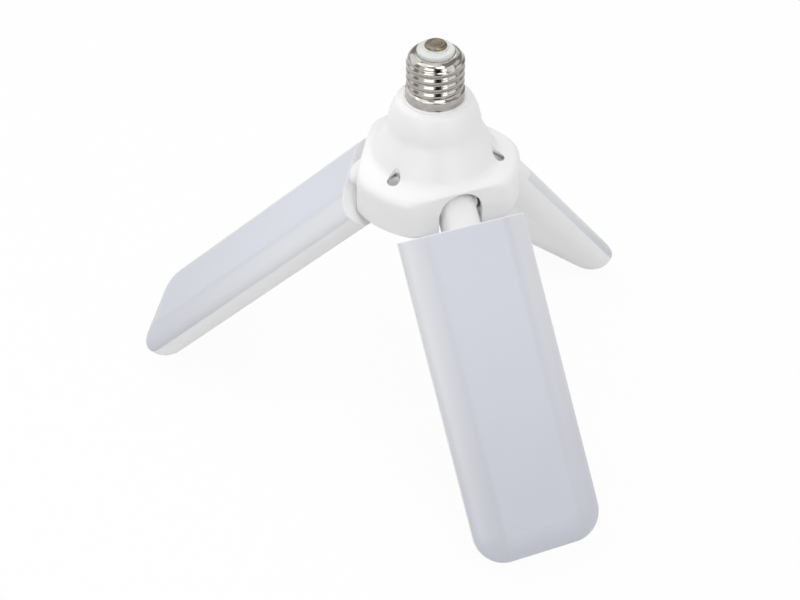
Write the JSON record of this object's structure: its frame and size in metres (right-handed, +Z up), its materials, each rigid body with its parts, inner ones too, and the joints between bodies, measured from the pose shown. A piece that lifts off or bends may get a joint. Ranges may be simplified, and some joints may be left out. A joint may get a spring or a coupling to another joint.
{
  "type": "folding three-leaf screw-in LED lamp",
  "caption": "Ceiling lamp that screws into a standard socket: a domed hub with hinged, rounded LED leaves under milky bevelled covers, folding from level to hanging.",
  "frame": {"origin": "Tip of the cap's centre contact, which is the topmost point and where the lamp meets its socket.", "axes": "+Z is up along the cap's axis, out of the contact; the front leaf points to -Y; +X is to the right seen from the front."},
  "size_m": [0.2561, 0.2292, 0.1942],
  "materials": {
    "cap_metal": "nickel-plated, satin bright, slightly warm",
    "insulator": "matt off-white",
    "housing": "fine satin, cool white",
    "diffuser": "milky translucent, soft satin gloss",
    "led_board": "white solder mask on aluminium",
    "led": "yellow phosphor in a white package",
    "screws": "zinc-plated",
    "friction": "matt black",
    "driver_board": "green solder mask",
    "capacitor": "dark printed sleeve",
    "choke": "dark ferrite and wound copper",
    "black_parts": "moulded black epoxy",
    "varistor": "blue coating",
    "resistor": "beige coating",
    "line_wire": "smooth red insulation",
    "neutral_wire": "smooth black insulation",
    "leaf_wires": "smooth white insulation"
  },
  "bodies": {
    "hub": {"centre_contact": "cap_metal", "cap_insulator": "insulator", "cap_shell": "cap_metal", "upper_housing": "housing", "lower_housing": "housing", "hub_screws": "screws", "driver_board": "driver_board", "driver_board_screws": "screws", "filter_capacitor": "capacitor", "driver_choke": "choke", "bridge_rectifier": "black_parts", "driver_chip": "black_parts", "varistor": "varistor", "fuse_resistor": "resistor", "line_lead": "line_wire", "neutral_lead": "neutral_wire", "front_hub_leads": "leaf_wires", "left_hub_leads": "leaf_wires", "right_hub_leads": "leaf_wires"},
    "front_leaf": {"front_leaf_housing": "housing", "front_diffuser": "diffuser", "front_led_board": "led_board", "front_leds": "led", "front_led_screws": "screws", "front_friction_rings": "friction", "front_leaf_leads": "leaf_wires"},
    "left_leaf": {"left_leaf_housing": "housing", "left_diffuser": "diffuser", "left_led_board": "led_board", "left_leds": "led", "left_led_screws": "screws", "left_friction_rings": "friction", "left_leaf_leads": "leaf_wires"},
    "right_leaf": {"right_leaf_housing": "housing", "right_diffuser": "diffuser", "right_led_board": "led_board", "right_leds": "led", "right_led_screws": "screws", "right_friction_rings": "friction", "right_leaf_leads": "leaf_wires"}
  },
  "joints": [
    {"name": "front_leaf_hinge", "type": "hinge", "parent": "hub", "child": "front_leaf", "pos_m": [0, -0.0245, -0.06825], "axis": [1, 0, 0], "range_deg": [-46.87, 43.13]},
    {"name": "left_leaf_hinge", "type": "hinge", "parent": "hub", "child": "left_leaf", "pos_m": [-0.02122, 0.01225, -0.06825], "axis": [-0.5, -0.866, 0], "range_deg": [-43.74, 46.26]},
    {"name": "right_leaf_hinge", "type": "hinge", "parent": "hub", "child": "right_leaf", "pos_m": [0.02122, 0.01225, -0.06825], "axis": [-0.5, 0.866, 0], "range_deg": [-50.09, 39.91]}
  ]
}
